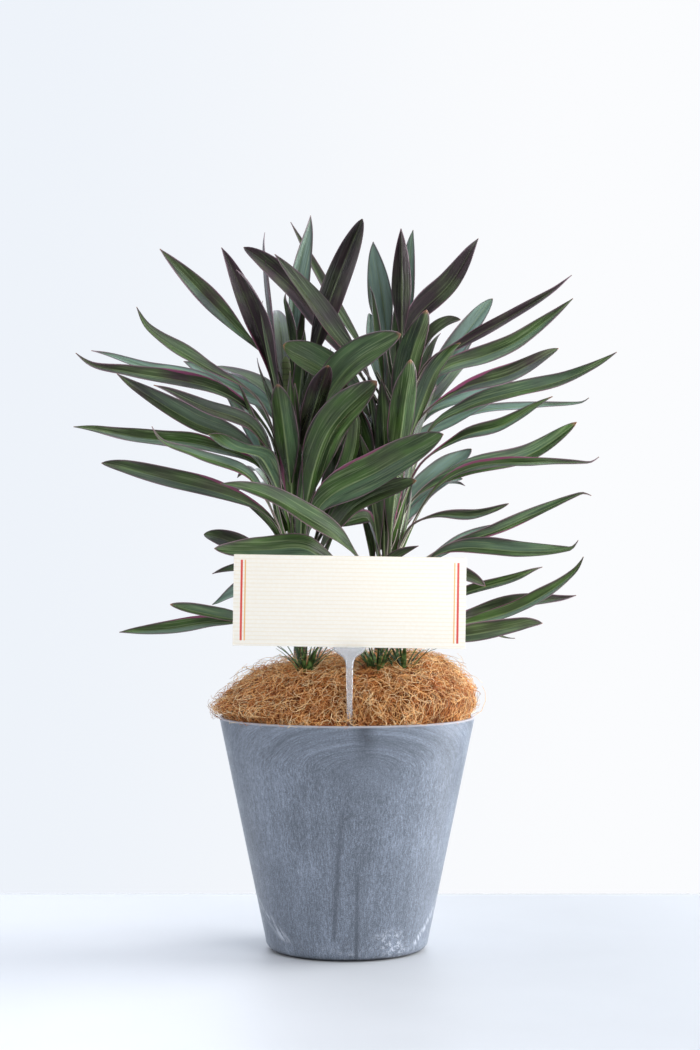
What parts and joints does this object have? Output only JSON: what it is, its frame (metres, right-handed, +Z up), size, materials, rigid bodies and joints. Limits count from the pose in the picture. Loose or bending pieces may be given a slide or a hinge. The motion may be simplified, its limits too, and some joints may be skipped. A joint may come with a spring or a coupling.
{
  "type": "potted ti plant",
  "caption": "Ti plant with leafy canes in a tapered grey composite planter, mulched with coir, with a blank striped message card on a clear stake.",
  "frame": {"origin": "middle of the planter's flat underside, on the surface it stands on", "axes": "+Z up along the planter's axis; the front, with the message card, faces -Y; +X is to the right seen from the front"},
  "size_m": [0.6414, 0.4007, 0.8703],
  "materials": {
    "planter_composite": "satin",
    "potting_soil": "matte",
    "coir_fibre": "matte",
    "cane_bark": "matte",
    "leaf_blade": "satin",
    "card_board": "matte",
    "clear_plastic": "gloss"
  },
  "bodies": {
    "root": {"cane_left": "cane_bark", "cane_right": "cane_bark", "card_stake": "clear_plastic", "coir_mulch": "coir_fibre", "leaf_left_01": "leaf_blade", "leaf_left_02": "leaf_blade", "leaf_left_03": "leaf_blade", "leaf_left_04": "leaf_blade", "leaf_left_05": "leaf_blade", "leaf_left_06": "leaf_blade", "leaf_left_07": "leaf_blade", "leaf_left_08": "leaf_blade", "leaf_left_09": "leaf_blade", "leaf_left_10": "leaf_blade", "leaf_left_11": "leaf_blade", "leaf_left_12": "leaf_blade", "leaf_left_13": "leaf_blade", "leaf_left_14": "leaf_blade", "leaf_left_15": "leaf_blade", "leaf_left_16": "leaf_blade", "leaf_left_17": "leaf_blade", "leaf_left_18": "leaf_blade", "leaf_left_19": "leaf_blade", "leaf_left_20": "leaf_blade", "leaf_left_21": "leaf_blade", "leaf_left_22": "leaf_blade", "leaf_left_23": "leaf_blade", "leaf_left_24": "leaf_blade", "leaf_right_01": "leaf_blade", "leaf_right_02": "leaf_blade", "leaf_right_03": "leaf_blade", "leaf_right_04": "leaf_blade", "leaf_right_05": "leaf_blade", "leaf_right_06": "leaf_blade", "leaf_right_07": "leaf_blade", "leaf_right_08": "leaf_blade", "leaf_right_09": "leaf_blade", "leaf_right_10": "leaf_blade", "leaf_right_11": "leaf_blade", "leaf_right_12": "leaf_blade", "leaf_right_13": "leaf_blade", "leaf_right_14": "leaf_blade", "leaf_right_15": "leaf_blade", "leaf_right_16": "leaf_blade", "leaf_right_17": "leaf_blade", "leaf_right_18": "leaf_blade", "leaf_right_19": "leaf_blade", "leaf_right_20": "leaf_blade", "leaf_right_21": "leaf_blade", "leaf_right_22": "leaf_blade", "leaf_right_23": "leaf_blade", "leaf_right_24": "leaf_blade", "leaf_right_25": "leaf_blade", "leaf_right_26": "leaf_blade", "leaf_right_27": "leaf_blade", "leaf_right_28": "leaf_blade", "leaf_right_29": "leaf_blade", "message_card": "card_board", "planter_pot": "planter_composite", "potting_soil": "potting_soil"}
  },
  "joints": []
}
